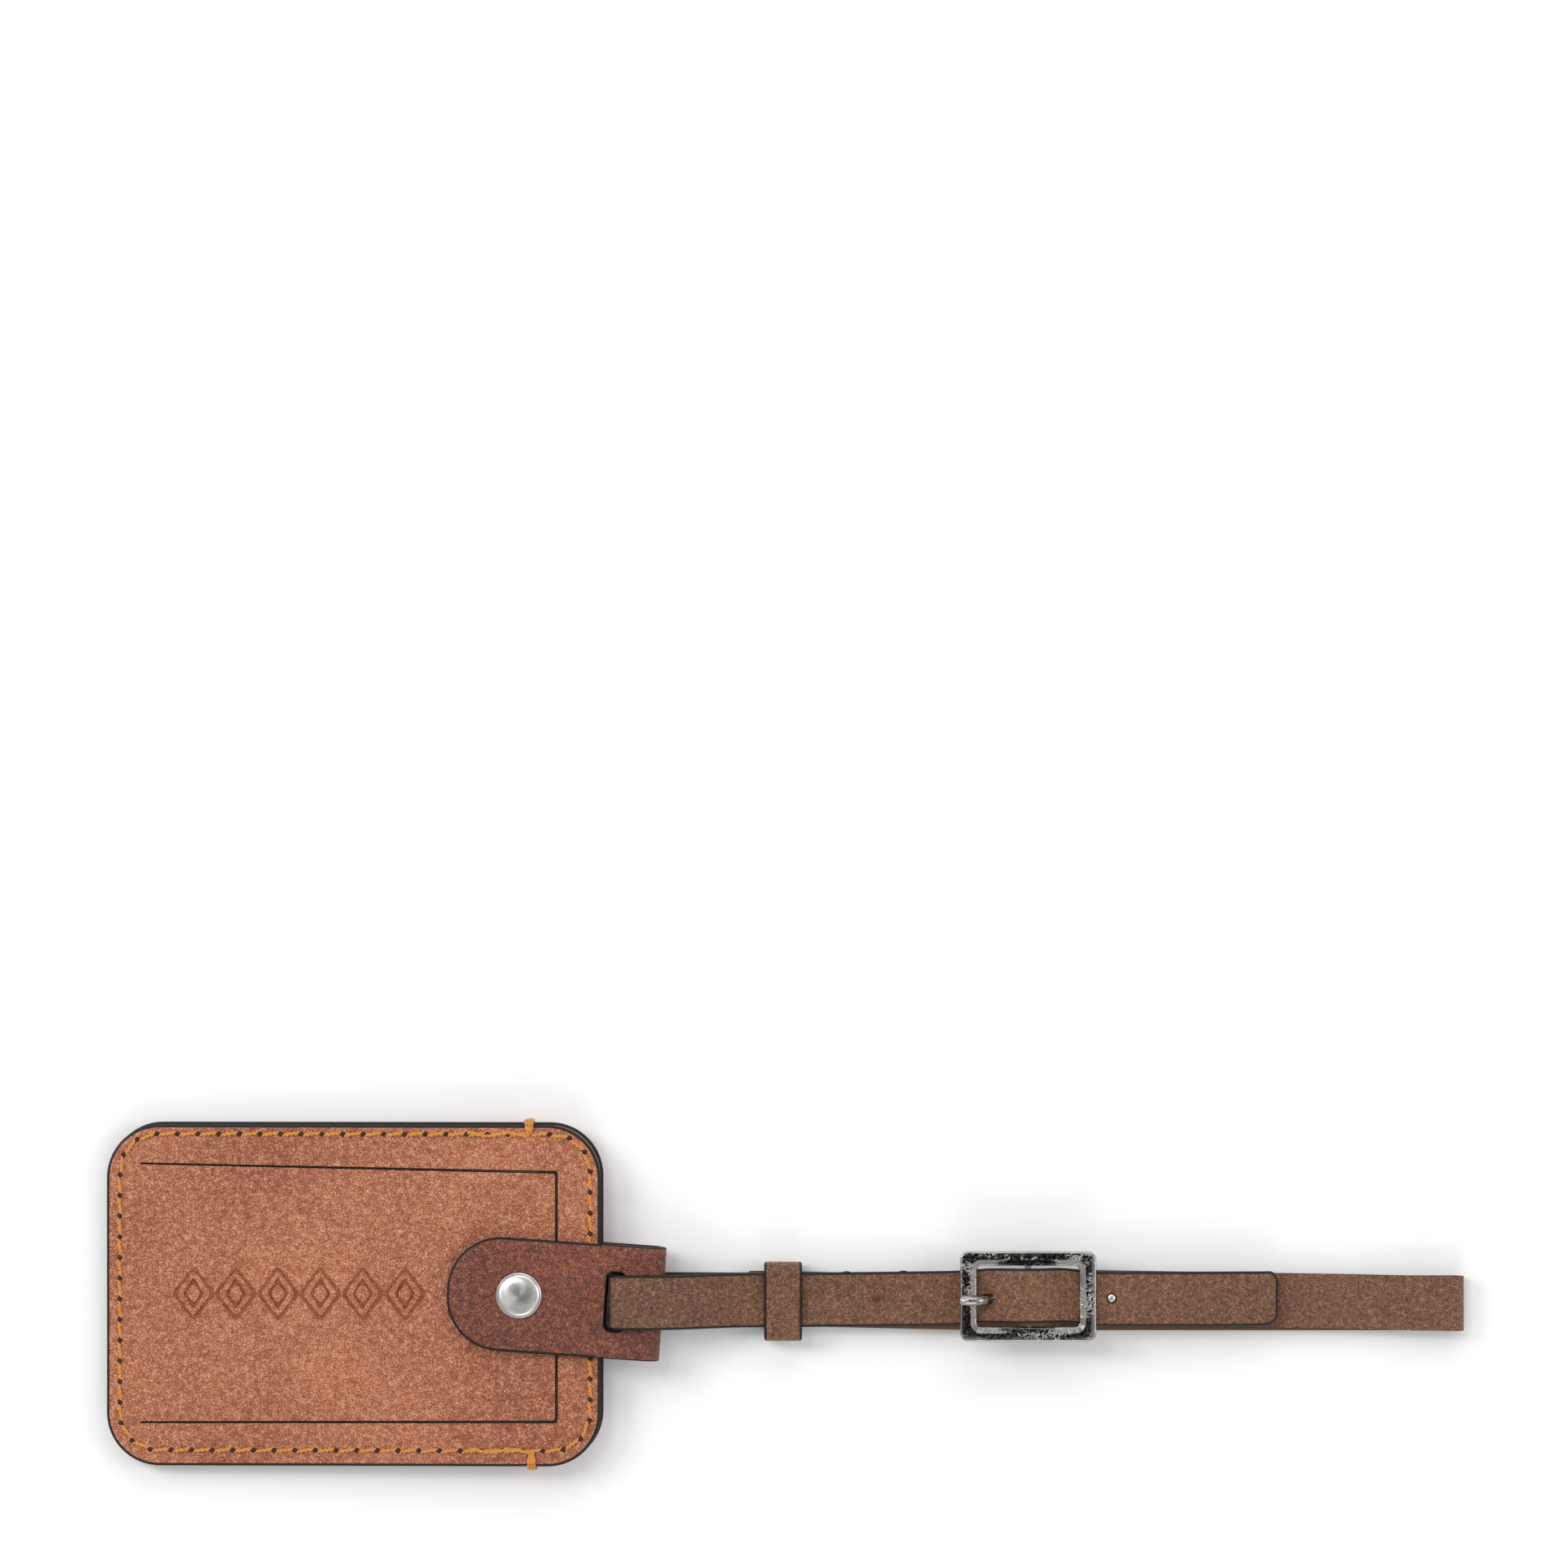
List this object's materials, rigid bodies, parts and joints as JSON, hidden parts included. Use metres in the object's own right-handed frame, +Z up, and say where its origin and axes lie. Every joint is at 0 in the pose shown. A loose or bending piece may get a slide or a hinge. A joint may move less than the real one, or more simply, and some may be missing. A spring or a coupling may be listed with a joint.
{
  "type": "luggage tag",
  "caption": "Flat stitched leather card pocket with a lift-up flap and snap-down closure tab, on a long narrow strap with a buckle and a sliding keeper.",
  "frame": {"origin": "on the surface the tag lies on, under the middle of its bounding box", "axes": "+X along the strap from the pocket to the strap's far fold, +Y across the tag, +Z up through the front of the tag"},
  "size_m": [0.2939, 0.0761, 0.0115],
  "materials": {
    "tan_leather": "pebbled tan leather with black painted edges",
    "tab_leather": "reddish brown leather with black painted edges",
    "strap_leather": "taupe brown leather with black painted edges",
    "clear_sheet": "clear flexible sheet",
    "card_stock": "uncoated card",
    "gold_thread": "twisted golden thread",
    "satin_nickel": "satin nickel plate",
    "cast_nickel": "polished nickel-plated casting",
    "dark_steel": "plain steel"
  },
  "bodies": {
    "tag": {"front_panel": "tan_leather", "back_panel": "tan_leather", "window_sheet": "clear_sheet", "address_card": "card_stock", "front_seam_thread": "gold_thread", "back_seam_thread": "gold_thread", "top_edge_tack": "gold_thread", "bottom_edge_tack": "gold_thread", "rear_rivet_post": "dark_steel", "rear_rivet_cap": "satin_nickel"},
    "flap": {"card_flap": "tan_leather", "snap_post": "dark_steel", "snap_stud": "satin_nickel"},
    "tab": {"tab_rear_and_fold": "tab_leather", "strap_bight": "strap_leather"},
    "tab_front": {"tab_front_leg": "tab_leather", "snap_cap": "satin_nickel", "snap_socket": "satin_nickel"},
    "strap": {"strap_loop": "strap_leather", "strap_upper": "strap_leather", "strap_rivet": "satin_nickel", "buckle_frame": "cast_nickel", "buckle_bar": "dark_steel"},
    "prong": {"buckle_prong": "cast_nickel"},
    "keeper": {"keeper_loop": "strap_leather"},
    "tip": {"strap_tip": "strap_leather"}
  },
  "joints": [
    {"name": "flap_hinge", "type": "hinge", "parent": "tag", "child": "flap", "pos_m": [-0.13962, 0, 0.00416], "axis": [0, -1, 0], "range_deg": [0, 150]},
    {"name": "tab_swivel", "type": "hinge", "parent": "tag", "child": "tab", "pos_m": [-0.05744, -0.00035, 0.00261], "axis": [-0.0292, 0, 0.9996], "range_deg": [-6, 10]},
    {"name": "tab_lift", "type": "hinge", "parent": "tab", "child": "tab_front", "pos_m": [-0.04046, -0.00152, 0.00916], "axis": [0.068, 0.9977, 0.002], "range_deg": [0, 120]},
    {"name": "strap_flex", "type": "hinge", "parent": "tab", "child": "strap", "pos_m": [-0.008, 0, 0.00305], "axis": [0, -1, 0], "range_deg": [-60, 60]},
    {"name": "prong_hinge", "type": "hinge", "parent": "strap", "child": "prong", "pos_m": [0.0523, -0.0014, 0.007], "axis": [0, 1, 0], "range_deg": [0, 8]},
    {"name": "keeper_slide", "type": "slide", "parent": "strap", "child": "keeper", "axis": [1, 0, 0], "range_m": [-0.002, 0.03]},
    {"name": "tip_lift", "type": "hinge", "parent": "strap", "child": "tip", "pos_m": [0.078, 0, 0.0058], "axis": [0, -1, 0], "range_deg": [0, 60]}
  ]
}
